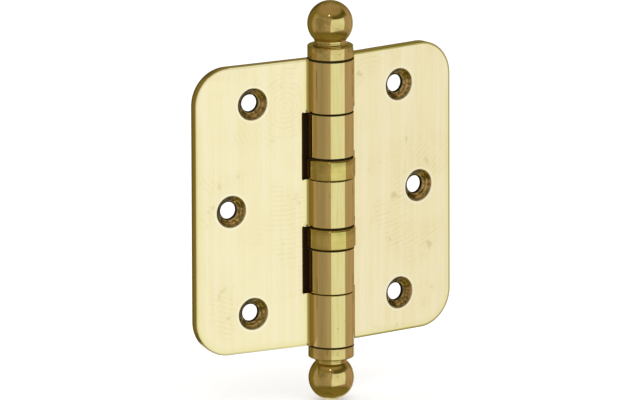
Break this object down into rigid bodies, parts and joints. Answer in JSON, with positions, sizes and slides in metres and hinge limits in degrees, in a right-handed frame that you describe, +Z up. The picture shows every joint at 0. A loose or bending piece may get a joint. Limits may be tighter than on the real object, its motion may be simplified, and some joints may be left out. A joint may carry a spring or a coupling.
{
  "type": "door hinge",
  "caption": "Radius-corner butt hinge with rolled knuckles, thrust bearings between them, and a lift-out pin that ends in ball tips.",
  "frame": {"origin": "middle of the fixed leaf's back face", "axes": "+Z up along the pin, +Y out of the fixed leaf's back face, the fixed leaf towards -X from the pin, the barrel standing out towards -Y"},
  "size_m": [0.0901, 0.0182, 0.1242],
  "materials": {
    "leaf_brass": "satin, faintly brushed along the pin, lacquered",
    "tip_brass": "turned and polished",
    "cup_brass": "drawn and polished",
    "pin_steel": "ground",
    "bearing_steel": "hardened and polished, lightly greased"
  },
  "bodies": {
    "fixed_leaf": {"fixed_leaf": "leaf_brass", "lower_tip_plug": "tip_brass", "lower_ball_tip": "tip_brass", "lower_tip_stud": "pin_steel", "upper_bearing_cup": "cup_brass", "upper_bearing_lower_race": "bearing_steel", "lower_bearing_upper_race": "bearing_steel"},
    "moving_leaf": {"moving_leaf": "leaf_brass", "upper_bearing_upper_race": "bearing_steel", "lower_bearing_cup": "cup_brass", "lower_bearing_lower_race": "bearing_steel"},
    "upper_balls": {"upper_bearing_ball_01": "bearing_steel", "upper_bearing_ball_02": "bearing_steel", "upper_bearing_ball_03": "bearing_steel", "upper_bearing_ball_04": "bearing_steel", "upper_bearing_ball_05": "bearing_steel", "upper_bearing_ball_06": "bearing_steel", "upper_bearing_ball_07": "bearing_steel", "upper_bearing_ball_08": "bearing_steel", "upper_bearing_ball_09": "bearing_steel", "upper_bearing_ball_10": "bearing_steel", "upper_bearing_ball_11": "bearing_steel", "upper_bearing_ball_12": "bearing_steel"},
    "lower_balls": {"lower_bearing_ball_01": "bearing_steel", "lower_bearing_ball_02": "bearing_steel", "lower_bearing_ball_03": "bearing_steel", "lower_bearing_ball_04": "bearing_steel", "lower_bearing_ball_05": "bearing_steel", "lower_bearing_ball_06": "bearing_steel", "lower_bearing_ball_07": "bearing_steel", "lower_bearing_ball_08": "bearing_steel", "lower_bearing_ball_09": "bearing_steel", "lower_bearing_ball_10": "bearing_steel", "lower_bearing_ball_11": "bearing_steel", "lower_bearing_ball_12": "bearing_steel"},
    "pin": {"hinge_pin": "pin_steel", "pin_head": "tip_brass", "upper_ball_tip": "tip_brass", "upper_tip_stud": "pin_steel"}
  },
  "joints": [
    {"name": "leaf_swing", "type": "hinge", "parent": "fixed_leaf", "child": "moving_leaf", "pos_m": [0.02735, -0.00355, 0], "axis": [0, 0, 1], "range_deg": [-189.3, 120.7]},
    {"name": "pin_lift", "type": "slide", "parent": "fixed_leaf", "child": "pin", "axis": [0, 0, 1], "range_m": [0, 0.085]},
    {"name": "upper_balls_turn", "type": "hinge", "parent": "fixed_leaf", "child": "upper_balls", "pos_m": [0.02735, -0.00355, 0], "axis": [0, 0, 1], "range_deg": [-95, 61]},
    {"name": "lower_balls_turn", "type": "hinge", "parent": "fixed_leaf", "child": "lower_balls", "pos_m": [0.02735, -0.00355, 0], "axis": [0, 0, 1], "range_deg": [-95, 61]}
  ],
  "couplings": [
    {"joint": "upper_balls_turn", "follows": "leaf_swing", "ratio": 0.5},
    {"joint": "lower_balls_turn", "follows": "leaf_swing", "ratio": 0.5}
  ]
}
